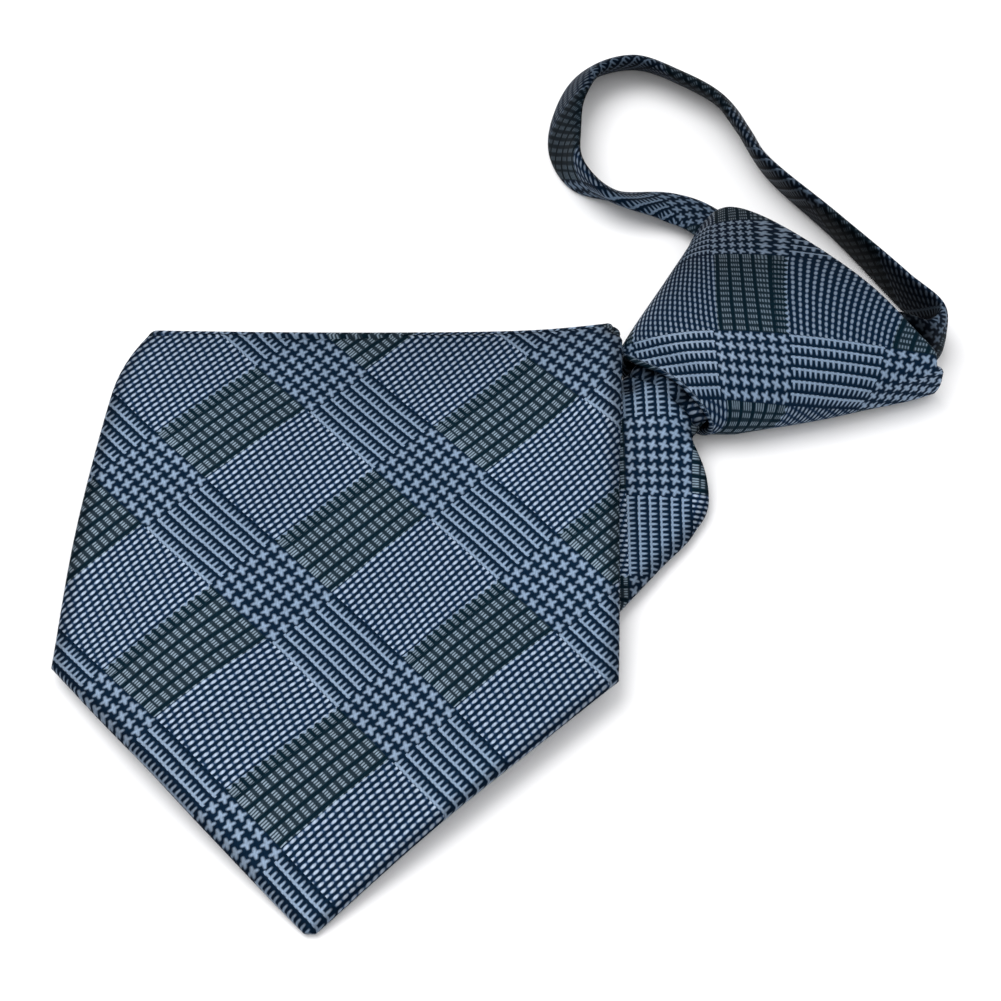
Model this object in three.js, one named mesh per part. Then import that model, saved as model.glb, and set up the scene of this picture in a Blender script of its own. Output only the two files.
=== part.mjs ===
import * as THREE from 'three';

// Zipper tie, laid flat: X runs to the right, Y away from the point of the blade, Z up from the surface.

// Cloth
const bladeThickness = 1.8;   // lined blade, one layer
const layerGap = 0.35;        // air between two layers of the pile
const knotWall = 2.2;         // wrapped cloth of the knot
const clearance = 0.3;        // between pieces that touch

// Blade, measured along the strip
const bladeWidth = 85;        // at the two corners of the point
const foldWidth = 79.8;       // beside the fold where the top layer turns over
const neckWidth = 46;         // below the flare that comes out of the knot
const pointLength = 42.5;     // from the corners to the tip
const pointSwell = 1.0;       // outward bulge of the point's left edge
const topLength = 110.2;      // from the back fold to the tip
const cornerLength = 16;      // rounding of the strip's left edge at the back fold
const cornerDepth = 5.2;
const backLength = 59.8;      // from the front fold to the back fold
const flareLength = 37;       // in which the gathers open out
const tuckLength = 10;        // end held inside the knot
const mouthSlack = 0.5;       // free space at each side of the gathers inside the knot
const mouthArch = 1.8;        // the gathers' edges lie this much lower than their middle
const liftReach = 10;         // how far the pile is raised round the knot's mouth
const tipRadius = 0.9;        // blunt end of the point
const tipHeight = 1.0;        // middle of the cloth at the tip
const leftDroop = 0.62;       // share of its height that the left corner falls
const rightDroop = 0.34;      // share that the right corner falls

// Headings of the two upper runs of the blade, in degrees from X
const backHeading = 92.4;
const topHeading = 267.6;

// The back fold's right end, from the knot's left corner
const foldTuck = 0.4;         // how far the pile reaches under the knot's slanting side
const foldRise = 3.0;         // and how far beyond the corner it turns

// Knot
const knotPlace = { x: 26.5, y: 16.5 };   // middle of the narrow end
const knotHeading = 39;
const knotLength = 35;
const narrowWidth = 21.8;
const wideWidth = 49;
const crownRoom = 1.6;        // free space over the band under the wide end's crown
const narrowTurn = -50.4;     // direction of the narrow rim
const wideTurn = -44;         // direction of the wide rim
const notchDepth = 1.1;       // gather in the right end of the wide rim
const exitDepth = 7;          // the rim's lower left corner is cut back where the band comes out

// Neck band
const bandWidth = 9;
const bandThickness = 2.3;
const loopSpread = 37.8;      // how far the loop lies to the left of the line between its ends at the knot
const loopRise = 56.5;        // and how far beyond that line

// Zipper tail
const tailWidth = 10;
const tapeThickness = 0.9;
const coilWidth = 3.2;
const tailThickness = 1.3;    // over the closed coil
const tailLength = 50;
const tailFall = 9;           // in which the tail comes down to the surface
const sliderWidth = 8;
const sliderLength = 6;
const sliderHeight = 2.9;
const sliderInset = 1.5;      // from the tail's hidden end

const rad = THREE.MathUtils.degToRad;
const direction = (degrees) => ({ x: Math.cos(rad(degrees)), y: Math.sin(rad(degrees)) });
const smooth = (x) => THREE.MathUtils.smoothstep(x, 0, 1);
const lerp = THREE.MathUtils.lerp;
const signedPower = (x, power) => Math.sign(x) * Math.pow(Math.abs(x), power);

// Inside the knot: the tail on the floor, the gathers over the slider, and the crown over both
const seat = knotWall + 1.5 * clearance;
const mouthWidth = narrowWidth - 2 * (knotWall + clearance + mouthSlack);
const archAtSlider = mouthArch * (sliderWidth / mouthWidth) ** 2;
const mouthHeight = seat + sliderHeight + clearance + archAtSlider + bladeThickness / 2;
const narrowHeight = mouthHeight + bladeThickness / 2 + clearance + knotWall;
const wideHeight = bandWidth + 2 * (knotWall + clearance) + crownRoom;

// Heights of the pile, to the middle of each layer
const pitch = bladeThickness + layerGap;
const rollRadius = pitch / 2;
const rollLength = Math.PI * rollRadius;
const runHeight = tailThickness + clearance + bladeThickness / 2;
const backHeight = runHeight + pitch;
const topHeight = backHeight + pitch;
const mouthLift = mouthHeight - runHeight;

// Value of one column of a table at a place, by a smooth curve through its rows
function readTable(rows, key, at) {
  const last = rows.length - 1;
  if (at <= rows[0].at) return rows[0][key];
  if (at >= rows[last].at) return rows[last][key];
  let i = 0;
  while (rows[i + 1].at < at) i += 1;
  const slope = (j) => {
    const a = Math.max(j - 1, 0);
    const b = Math.min(j + 1, last);
    return (rows[b][key] - rows[a][key]) / (rows[b].at - rows[a].at);
  };
  const span = rows[i + 1].at - rows[i].at;
  const u = (at - rows[i].at) / span;
  const rise = rows[i + 1][key] - rows[i][key];
  const m0 = slope(i) * span;
  const m1 = slope(i + 1) * span;
  return rows[i][key] + u * (m0 + u * (3 * rise - 2 * m0 - m1 + u * (m0 + m1 - 2 * rise)));
}

function signedVolume(positions, index) {
  const p = (i) => new THREE.Vector3().fromArray(positions, 3 * i);
  let sum = 0;
  for (let i = 0; i < index.length; i += 3) {
    sum += p(index[i]).dot(p(index[i + 1]).cross(p(index[i + 2])));
  }
  return sum;
}

// Closed body from rings of points; the ends are closed across each ring, or the rings close on themselves
function bodyFromRings(rings, ringsClose = false) {
  const count = rings[0].length;
  const positions = rings.flat().flatMap((p) => [p.x, p.y, p.z]);
  const index = [];
  const spans = ringsClose ? rings.length : rings.length - 1;
  for (let i = 0; i < spans; i += 1) {
    const a = i * count;
    const b = ((i + 1) % rings.length) * count;
    for (let j = 0; j < count; j += 1) {
      const k = (j + 1) % count;
      index.push(a + j, b + j, b + k, a + j, b + k, a + k);
    }
  }
  if (!ringsClose) {
    const end = (rings.length - 1) * count;
    for (let j = 0; j < count / 2 - 1; j += 1) {
      const k = count - 1 - j;
      index.push(j, j + 1, k - 1, j, k - 1, k);
      index.push(end + j, end + k - 1, end + j + 1, end + j, end + k, end + k - 1);
    }
  }
  const inward = signedVolume(positions, index) < 0;
  const outward = (v, i) => (i % 3 === 1 ? index[i + 1] : i % 3 === 2 ? index[i - 1] : v);
  const geometry = new THREE.BufferGeometry();
  geometry.setAttribute('position', new THREE.Float32BufferAttribute(positions, 3));
  geometry.setIndex(inward ? index.map(outward) : index);
  geometry.computeVertexNormals();
  return geometry;
}

// Plan point of the knot, q along its length as a share, side across it in millimetres
function knotPlan(q, side) {
  const axis = direction(knotHeading);
  const rim = direction(lerp(narrowTurn, wideTurn, q));
  return {
    x: knotPlace.x + axis.x * knotLength * q + rim.x * side,
    y: knotPlace.y + axis.y * knotLength * q + rim.y * side,
  };
}

// A run of the strip in the plan: its start, its heading and the direction of its right side
const runFrame = (place, heading, side) => ({ place, head: direction(heading), side });

// A fold's crease halves the angle between two headings; out points across it, away from the cloth
function creaseOf(headingIn, headingOut) {
  const crease = direction((headingIn + headingOut) / 2);
  const out = { x: -crease.y, y: crease.x };
  const head = direction(headingIn);
  return out.x * head.x + out.y * head.y < 0 ? { crease, out: { x: -out.x, y: -out.y } } : { crease, out };
}

// Plan frames of the three runs. The back fold is set beside the knot, and the first run leads from the knot
// to where the middle run starts. Each fold mirrors the strip across its crease.
function planFrames() {
  const knotLeft = knotPlan(0, -narrowWidth / 2);
  const backCorner = { x: knotLeft.x + foldTuck - bladeWidth / 2, y: knotLeft.y + foldRise };
  const up = direction(backHeading);
  const start = { x: backCorner.x - up.x * backLength, y: backCorner.y - up.y * backLength };
  let frontCorner = start;
  let heading = 0;
  let front = null;
  for (let i = 0; i < 6; i += 1) {
    const away = Math.atan2(frontCorner.y - knotPlace.y, frontCorner.x - knotPlace.x);
    heading = THREE.MathUtils.radToDeg(away) + 360;
    front = creaseOf(heading, backHeading);
    frontCorner = { x: start.x - front.out.x * rollLength, y: start.y - front.out.y * rollLength };
  }
  const back = creaseOf(backHeading, topHeading);
  const turned = { x: backCorner.x + back.out.x * rollLength, y: backCorner.y + back.out.y * rollLength };
  const runs = [
    runFrame(knotPlace, heading, direction(heading + 90)),
    runFrame(start, backHeading, direction(backHeading - 90)),
    runFrame(turned, topHeading, direction(topHeading + 90)),
  ];
  const lengthOut = Math.hypot(frontCorner.x - knotPlace.x, frontCorner.y - knotPlace.y);
  const fold = ({ crease, out }, corner, { head, side }) => ({
    crease, out, corner,
    lean: (crease.x * head.x + crease.y * head.y) / (crease.x * side.x + crease.y * side.y),
  });
  runs[0].fold = fold(front, frontCorner, runs[0]);
  runs[1].fold = fold(back, backCorner, runs[1]);
  return { runs, heading, frontFold: lengthOut };
}
const plan = planFrames();

// Stations of the two folds and of the tip along the strip
const frontFold = plan.frontFold;
const backFold = frontFold + backLength;
const tip = backFold + topLength;
const runStarts = [0, frontFold, backFold];
const runEnds = [frontFold, backFold, tip];
const runHeights = [runHeight, backHeight, topHeight];

// The raised cloth round the knot's mouth, by place in the plan
function liftAt(x, y) {
  const away = Math.hypot(x - knotPlace.x, y - knotPlace.y) / liftReach;
  return mouthLift * Math.exp(-away * away / 2);
}

// Half width of the strip where the gathers open, as shares of the flare's length and of the way from the
// mouth's width to the neck's
const flareRows = [
  { at: 0.00, near: 0.00, far: 0.00 },
  { at: 0.08, near: 0.04, far: 0.02 },
  { at: 0.14, near: 0.35, far: 0.08 },
  { at: 0.21, near: 0.60, far: 0.14 },
  { at: 0.39, near: 0.80, far: 0.34 },
  { at: 0.61, near: 0.87, far: 0.63 },
  { at: 1.00, near: 1.00, far: 1.00 },
];
const cornerCurve = 2.4;      // how quickly the rounding at the back fold fades

// Half width on the right of the blade (near) and on its left (far), which narrows towards the back fold
function halfWidth(s, key) {
  if (s <= 0) return mouthWidth / 2;
  if (s < flareLength) return lerp(mouthWidth, neckWidth, readTable(flareRows, key, s / flareLength)) / 2;
  if (s < frontFold) return neckWidth / 2;
  const atFold = key === 'near' ? bladeWidth / 2 : foldWidth - bladeWidth / 2;
  const fromFold = Math.max(0, Math.abs(s - backFold - rollLength / 2) - rollLength / 2) / cornerLength;
  const rounding = key === 'far' && fromFold < 1 ? cornerDepth * Math.pow(1 - fromFold, cornerCurve) : 0;
  if (s < backFold) return lerp(neckWidth / 2, atFold, (s - frontFold) / backLength) - rounding;
  const corner = tip - pointLength;
  const widen = Math.sin(Math.PI / 2 * (s - backFold) / (corner - backFold));
  if (s < corner) return lerp(atFold, bladeWidth / 2, widen) - rounding;
  const share = (s - corner) / pointLength;
  const swell = key === 'far' ? pointSwell * Math.sin(Math.PI * share) : 0;
  return lerp(bladeWidth / 2, tipRadius, share) + swell;
}

// Height of the top run: it falls to the tip and droops at both corners
const fallCurve = 1.35;       // how late the fall to the tip starts
const droopSpan = 0.9;        // share of the point's length behind the corners in which they droop
const droopFrom = 0.4;        // share of the half width where the droop starts
function topSurface(side, s) {
  const fromTip = tip - s;
  const ramp = 1 - Math.pow(Math.max(0, 1 - fromTip / pointLength), fallCurve);
  const nearCorners = 1 - smooth((fromTip - pointLength) / (droopSpan * pointLength));
  const across = side / (bladeWidth / 2);
  const left = leftDroop * smooth((-across - droopFrom) / (1 - droopFrom));
  const right = rightDroop * smooth((across - droopFrom) / (1 - droopFrom));
  return tipHeight + (topHeight - tipHeight) * ramp * (1 - nearCorners * (left + right));
}

// Middle surface of the strip: t runs across it, s along it from the knot
function stripPoint(t, s) {
  for (let k = 0; k < plan.runs.length; k += 1) {
    const { place, head, side, fold } = plan.runs[k];
    const past = fold ? (s - runEnds[k] - t * fold.lean) / Math.hypot(1, fold.lean) : -1;
    if (past < 0) {
      const x = place.x + head.x * (s - runStarts[k]) + side.x * t;
      const y = place.y + head.y * (s - runStarts[k]) + side.y * t;
      let z = runHeights[k] + (s > 0 ? liftAt(x, y) : mouthLift);
      if (k === 0) {
        const share = t / halfWidth(s, t > 0 ? 'near' : 'far');
        z -= mouthArch * (1 - smooth(s / flareLength)) * share * share;
      }
      if (k === 2) z += topSurface(side.x * t, s) - topHeight;
      return new THREE.Vector3(x, y, z);
    }
    if (past < rollLength) {
      const v = { x: head.x * (s - runEnds[k]) + side.x * t, y: head.y * (s - runEnds[k]) + side.y * t };
      const along = v.x * fold.crease.x + v.y * fold.crease.y;
      const out = rollRadius * Math.sin(past / rollRadius);
      const x = fold.corner.x + fold.crease.x * along + fold.out.x * out;
      const y = fold.corner.y + fold.crease.y * along + fold.out.y * out;
      const z = runHeights[k] + rollRadius * (1 - Math.cos(past / rollRadius)) + liftAt(x, y);
      return new THREE.Vector3(x, y, z);
    }
  }
  return null;
}

// Rows of the strip, each with the slant that makes it lie along the nearest crease
function stripRows() {
  const rows = [];
  const run = (from, to, leanFrom, leanTo, count) => {
    for (let i = 0; i <= count; i += 1) {
      rows.push({ s: lerp(from, to, i / count), lean: lerp(leanFrom, leanTo, i / count) });
    }
  };
  const first = plan.runs[0].fold.lean;
  const second = plan.runs[1].fold.lean;
  const rollEnd = (start, lean) => start + rollLength * Math.hypot(1, lean);
  const rollSteps = 6;
  const hair = 0.01;          // keeps the row before a roll off its first row
  run(-tuckLength, 0, 0, 0, 2);
  run(0.06 * flareLength, 0.5 * flareLength, 0, 0, 7);
  run(0.66 * flareLength, frontFold - hair, 0.25 * first, first, 5);
  run(frontFold, rollEnd(frontFold, first), first, first, rollSteps);
  run(frontFold + 0.2 * backLength, backFold - hair, 0.8 * first, second, 5);
  run(backFold, rollEnd(backFold, second), second, second, rollSteps);
  run(backFold + 0.06 * topLength, tip - pointLength, second, 0, 9);
  run(tip - 0.88 * pointLength, tip, 0, 0, 7);
  return rows;
}

// Thickness of the cloth across a row: full in the middle, thin at both edges
const edgeThinning = 0.94;
const edgeSharpness = 7;
const clothShare = (u) => Math.sqrt(1 - edgeThinning * Math.pow(Math.abs(u), edgeSharpness));

function frontBlade() {
  const across = 15;
  const edgeBias = 0.55;      // how much the points of a row crowd towards its edges
  const step = 0.05;          // for the surface's two tangents
  const rings = stripRows().map(({ s, lean }) => {
    const reach = (sign, key) => {
      let t = sign * halfWidth(s, key);
      for (let i = 0; i < 6; i += 1) t = sign * halfWidth(Math.min(s + t * lean, tip), key);
      return t;
    };
    const low = reach(-1, 'far');
    const high = reach(1, 'near');
    const upper = [];
    const lower = [];
    for (let j = 0; j < across; j += 1) {
      const even = j / (across - 1);
      const u = lerp(2 * even - 1, -Math.cos(Math.PI * even), edgeBias);
      const t = lerp(low, high, (u + 1) / 2);
      const at = Math.min(s + t * lean, tip);
      const middle = stripPoint(t, at);
      const alongT = stripPoint(t + step, at).sub(stripPoint(t - step, at));
      const alongS = stripPoint(t, at + step).sub(stripPoint(t, at - step));
      const normal = alongT.cross(alongS).normalize();
      const half = clothShare(u) * bladeThickness / 2;
      upper.push(middle.clone().addScaledVector(normal, half));
      lower.push(middle.clone().addScaledVector(normal, -half));
    }
    return [...upper, ...lower.reverse()];
  });
  return bodyFromRings(rings);
}

// Sections of the knot: height as a share of the step from the narrow to the wide height, swell of the near
// and the far side as shares of the narrow width, and how square the underside is
const knotRows = [
  { at: 0.00, height: 0.00, near: -0.020, far: 0.000, square: 2.2 },
  { at: 0.15, height: 0.45, near: -0.010, far: 0.015, square: 2.5 },
  { at: 0.40, height: 0.85, near: 0.015, far: 0.030, square: 3.1 },
  { at: 0.70, height: 1.00, near: 0.040, far: 0.025, square: 3.8 },
  { at: 0.90, height: 1.00, near: 0.045, far: 0.010, square: 4.6 },
  { at: 1.00, height: 0.90, near: 0.035, far: 0.000, square: 5.0 },
];
const crownSquare = { near: 2.1, far: 2.4 };   // roundness of the upper side, 2 is an ellipse
const underside = 0.7;        // how far the section would reach below the surface that flattens it
const waistRise = 0.9;        // how much higher the widest line lies at the wide end
const rimDips = {             // where round the wide rim the notch and the exit lie, and their spread
  notch: { angle: -0.25, before: 0.3, after: 0.3 },
  exit: { angle: 0.35 - Math.PI, before: 0.42, after: 0.9 },
};

// Share of a dip of the rim at an angle round it
function dipAt({ angle, before, after }, at) {
  let away = at - angle;
  if (away > Math.PI) away -= 2 * Math.PI;
  return Math.exp(-Math.pow(away / (away < 0 ? before : after), 2));
}

// One point of the knot's section at an angle, inset by a share of the wall
function knotPoint(q, angle, inset) {
  const share = THREE.MathUtils.clamp(q, 0, 1);
  const key = Math.cos(angle) > 0 ? 'near' : 'far';
  const swell = readTable(knotRows, key, share) * narrowWidth;
  const half = lerp(narrowWidth, wideWidth, share) / 2 + swell - inset;
  const crown = lerp(narrowHeight, wideHeight, readTable(knotRows, 'height', share)) - inset;
  const middle = narrowHeight / 2 + waistRise * share;
  const upper = Math.sin(angle) > 0;
  const roundness = upper ? crownSquare[key] : readTable(knotRows, 'square', share);
  const across = half * signedPower(Math.cos(angle), 2 / roundness);
  const rise = signedPower(Math.sin(angle), 2 / roundness);
  const z = middle + (upper ? crown - middle : middle + underside - inset) * rise;
  const cut = notchDepth * dipAt(rimDips.notch, angle) + exitDepth * dipAt(rimDips.exit, angle);
  const place = knotPlan(q - cut * smooth((q - 0.6) / 0.4) / knotLength, across);
  return new THREE.Vector3(place.x, place.y, Math.max(z, inset));
}

function knot() {
  const around = 26;
  const along = 9;
  const ring = (q, inset) => Array.from({ length: around },
    (_, j) => knotPoint(q, (j / around) * 2 * Math.PI - Math.PI, inset));
  const rimStep = 0.5 * knotWall / knotLength;
  const rings = [];
  rings.push(ring(-rimStep, 0.5 * knotWall));
  for (let i = 0; i <= along; i += 1) rings.push(ring(i / along, 0));
  rings.push(ring(1 + rimStep, 0.5 * knotWall));
  for (let i = along; i >= 0; i -= 1) rings.push(ring(i / along, knotWall));
  return bodyFromRings(rings, true);
}

// Middle line of the neck band outside the knot: how far it lies from the line between its two ends, as shares
// of the loop's spread and rise, and its lean inwards in degrees
const bandRows = [
  { x: -0.135, y: 0.132, lean: -74 },
  { x: -0.333, y: 0.211, lean: -72 },
  { x: -0.642, y: 0.262, lean: -42 },
  { x: -0.853, y: 0.369, lean: 0 },
  { x: -0.966, y: 0.546, lean: 33 },
  { x: -1.000, y: 0.740, lean: 36 },
  { x: -0.949, y: 0.919, lean: 38 },
  { x: -0.798, y: 1.000, lean: 38 },
  { x: -0.632, y: 0.957, lean: 38 },
  { x: -0.521, y: 0.890, lean: 34 },
  { x: -0.483, y: 0.789, lean: 27 },
  { x: -0.448, y: 0.667, lean: 23 },
  { x: -0.220, y: 0.446, lean: 16 },
  { x: 0.003, y: 0.211, lean: 2 },
  { x: 0.087, y: 0.100, lean: 0 },
];

// Ends of the band inside the knot: share of the knot's length, share of its half width, and the lean
const leftEnd = [
  { q: 0.45, side: -0.28, lean: -60 },
  { q: 0.68, side: -0.40, lean: -68 },
  { q: 0.88, side: -0.56, lean: -72 },
];
const rightEnd = [
  { q: 1.00, side: 0.55, lean: 15 },
  { q: 0.80, side: 0.43, lean: 0 },
  { q: 0.45, side: 0.27, lean: 0 },
];

// Where the band passes the wide rim, as shares of its half width
const leftExit = { side: -0.82, lean: -74 };
const rightExit = { side: 0.76, lean: 18 };

// Whole middle line of the band in the plan, with its lean and the height of its lower edge
function bandStations() {
  const floor = knotWall + clearance;
  const inside = ({ q, side, lean }) => ({
    ...knotPlan(q, side * lerp(narrowWidth, wideWidth, q) / 2), lean, foot: floor,
  });
  const beforeRim = 1 + (0.5 * knotWall + 0.5 * bandThickness + clearance) / knotLength;
  const left = knotPlan(1, leftExit.side * wideWidth / 2);
  const right = knotPlan(beforeRim, rightExit.side * wideWidth / 2);
  const outside = ({ x, y, lean }, i) => {
    const share = i / (bandRows.length - 1);
    return {
      x: lerp(left.x, right.x, share) + x * loopSpread,
      y: lerp(left.y, right.y, share) + y * loopRise,
      lean,
      foot: 0,
    };
  };
  return [
    ...leftEnd.map(inside),
    { ...left, lean: leftExit.lean, foot: 0.7 * knotWall },
    ...bandRows.map(outside),
    { ...right, lean: rightExit.lean, foot: floor },
    ...rightEnd.map(inside),
  ];
}

// Flat tube along the middle line; each section leans and stands with its lowest point on its foot
function neckBand() {
  const stations = bandStations();
  const curve = new THREE.CatmullRomCurve3(
    stations.map((p) => new THREE.Vector3(p.x, p.y, 0)), false, 'centripetal');
  const rows = stations.map((p, i) => ({ at: i / (stations.length - 1), lean: p.lean, foot: p.foot }));
  const steps = 76;
  const around = 10;
  const rings = [];
  for (let i = 0; i <= steps; i += 1) {
    const u = i / steps;
    const place = curve.getPoint(u);
    const head = curve.getTangent(u);
    const lean = rad(readTable(rows, 'lean', u));
    const inward = new THREE.Vector3(head.y, -head.x, 0);
    const up = new THREE.Vector3(0, 0, Math.cos(lean)).addScaledVector(inward, Math.sin(lean));
    const out = new THREE.Vector3().crossVectors(head, up).normalize();
    const ring = [];
    for (let j = 0; j < around; j += 1) {
      const a = ((j + 0.5) / around) * 2 * Math.PI;
      const tall = bandWidth / 2 * signedPower(Math.sin(a), 0.75);
      const thick = bandThickness / 2 * signedPower(Math.cos(a), 0.9);
      ring.push(place.clone().addScaledVector(up, tall).addScaledVector(out, thick));
    }
    const rise = Math.max(0, readTable(rows, 'foot', u)) - Math.min(...ring.map((p) => p.z));
    ring.forEach((p) => { p.z += rise; });
    rings.push(ring);
  }
  return bodyFromRings(rings);
}

// Closed zipper tail: flat tape, raised coil, and the slider as a thicker block inside the knot
function zipper() {
  const head = direction(plan.heading);
  const side = direction(plan.heading + 90);
  const outline = (ridge, thick) => [
    { x: -tailWidth / 2, z: tapeThickness }, { x: -ridge / 2, z: tapeThickness }, { x: -ridge / 2, z: thick },
    { x: ridge / 2, z: thick }, { x: ridge / 2, z: tapeThickness }, { x: tailWidth / 2, z: tapeThickness },
    { x: tailWidth / 2, z: 0 }, { x: ridge / 2, z: 0 }, { x: ridge / 4, z: 0 },
    { x: -ridge / 4, z: 0 }, { x: -ridge / 2, z: 0 }, { x: -tailWidth / 2, z: 0 },
  ];
  const tape = outline(coilWidth, tailThickness);
  const slider = outline(sliderWidth, sliderHeight);
  const hair = 0.02;          // length of the slider's end faces
  const sliderStart = sliderInset - tuckLength;
  const sliderEnd = sliderStart + sliderLength;
  const fallStart = 0.5 * knotWall + clearance;
  const fallEnd = fallStart + tailFall;
  const rows = [
    { s: -tuckLength, shape: tape }, { s: sliderStart, shape: tape },
    { s: sliderStart + hair, shape: slider }, { s: sliderEnd, shape: slider },
    { s: sliderEnd + hair, shape: tape }, { s: fallStart, shape: tape },
  ];
  for (let i = 1; i <= 6; i += 1) rows.push({ s: lerp(fallStart, fallEnd, i / 6), shape: tape });
  for (let i = 1; i <= 4; i += 1) rows.push({ s: lerp(fallEnd, tailLength, i / 4), shape: tape });
  const rings = rows.map(({ s, shape }) => {
    const lift = seat * (1 - smooth((s - fallStart) / tailFall));
    return shape.map((p) => new THREE.Vector3(
      knotPlace.x + head.x * s + side.x * p.x,
      knotPlace.y + head.y * s + side.y * p.x,
      lift + p.z));
  });
  return bodyFromRings(rings);
}

const clothBlue = new THREE.MeshStandardMaterial({ color: 0x3d4f6b, roughness: 0.55, metalness: 0 });
const knotBlue = new THREE.MeshStandardMaterial({ color: 0x425673, roughness: 0.5, metalness: 0 });
const bandBlue = new THREE.MeshStandardMaterial({ color: 0x2e3b52, roughness: 0.6, metalness: 0 });
const zipperNavy = new THREE.MeshStandardMaterial({ color: 0x1b2333, roughness: 0.45, metalness: 0.1 });

const pieces = {
  front_blade: new THREE.Mesh(frontBlade(), clothBlue),
  knot: new THREE.Mesh(knot(), knotBlue),
  neck_band: new THREE.Mesh(neckBand(), bandBlue),
  zipper: new THREE.Mesh(zipper(), zipperNavy),
};

const tie = new THREE.Group();
for (const [name, mesh] of Object.entries(pieces)) {
  mesh.name = name;
  tie.add(mesh);
}

// The origin is the middle of the whole, on the surface that it lies on
const box = new THREE.Box3().setFromObject(tie);
tie.position.set(-(box.min.x + box.max.x) / 2, -(box.min.y + box.max.y) / 2, -box.min.z);

export default tie;
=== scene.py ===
import math

import bpy
import numpy as np
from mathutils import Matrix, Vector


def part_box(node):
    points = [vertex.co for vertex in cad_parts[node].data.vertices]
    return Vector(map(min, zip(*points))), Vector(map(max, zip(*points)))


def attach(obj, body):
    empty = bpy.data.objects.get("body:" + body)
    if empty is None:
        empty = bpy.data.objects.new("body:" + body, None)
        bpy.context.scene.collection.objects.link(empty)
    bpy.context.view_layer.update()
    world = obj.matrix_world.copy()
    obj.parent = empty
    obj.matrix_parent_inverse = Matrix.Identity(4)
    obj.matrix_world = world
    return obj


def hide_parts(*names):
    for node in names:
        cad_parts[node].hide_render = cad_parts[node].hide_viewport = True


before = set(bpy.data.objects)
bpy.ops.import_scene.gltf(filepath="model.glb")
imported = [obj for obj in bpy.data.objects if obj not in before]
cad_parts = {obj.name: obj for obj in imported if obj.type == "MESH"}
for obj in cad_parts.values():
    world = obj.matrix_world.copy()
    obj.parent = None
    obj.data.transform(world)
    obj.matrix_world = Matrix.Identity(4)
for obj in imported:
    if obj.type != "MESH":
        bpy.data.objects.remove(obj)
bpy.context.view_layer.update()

# Helpers for shapes. Lengths are in millimetres in the lay frame: X to the right, Y away from the blade's
# point, Z up, with its zero where the camera looks. placeMesh turns them into metres in the CAD frame.

millimetre = 0.001
norm = np.linalg.norm
addToScene = bpy.context.scene.collection.objects.link
lay = {"leftCorner": -67.85, "tip": -79.01}  # the blade's box in the lay frame
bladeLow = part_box("front_blade")[0]
layOrigin = np.array([bladeLow[0] - lay["leftCorner"] * millimetre,
                      bladeLow[1] - lay["tip"] * millimetre, 0.0])


def mix(a, b, share):
    return a + (b - a) * share


def smooth(x):
    # 3x^2 - 2x^3 between 0 and 1, level outside
    x = np.clip(x, 0.0, 1.0)
    return x * x * (3.0 - 2.0 * x)


def bump(x, spread):
    # bell of height 1 and the given spread
    return np.exp(-(x / spread) ** 2)


def direction(degrees):
    return np.array([math.cos(math.radians(degrees)), math.sin(math.radians(degrees))])


def signedPower(x, power):
    return np.sign(x) * np.abs(x) ** power


def ripple(x, y, waves):
    # sum of sine waves, each with its height, length, heading and phase
    total = 0.0
    for wave in waves:
        east, north = direction(wave["heading"])
        run = (x * east + y * north) / wave["length"]
        total = total + wave["height"] * np.sin(2 * math.pi * run + wave["phase"])
    return total


def readTable(rows, key, at):
    # smooth curve through a column: between two rows a cubic with the slopes of the neighbours' chords
    x = np.array([row["at"] for row in rows], float)
    y = np.array([row[key] for row in rows], float)
    slope = np.gradient(y, x)
    at = np.clip(at, x[0], x[-1])
    i = np.clip(np.searchsorted(x, at, side="right") - 1, 0, len(x) - 2)
    span = x[i + 1] - x[i]
    u = (at - x[i]) / span
    rise = y[i + 1] - y[i]
    leaving = slope[i] * span
    arriving = slope[i + 1] * span
    bend = leaving + arriving - 2 * rise
    return y[i] + u * (leaving + u * (3 * rise - 2 * leaving - arriving + u * bend))


def surfaceNormal(alongRows, alongColumns):
    normal = np.cross(alongRows, alongColumns)
    return normal / np.maximum(norm(normal, axis=-1, keepdims=True), 1e-9)


def runLengths(points):
    # length along a line of points up to each of them
    return np.concatenate([[0], np.cumsum(norm(np.diff(points, axis=0), axis=1))])


def closeRing(values):
    # the first column again at the end
    return np.concatenate([values, values[:, :1]], 1)


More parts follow.
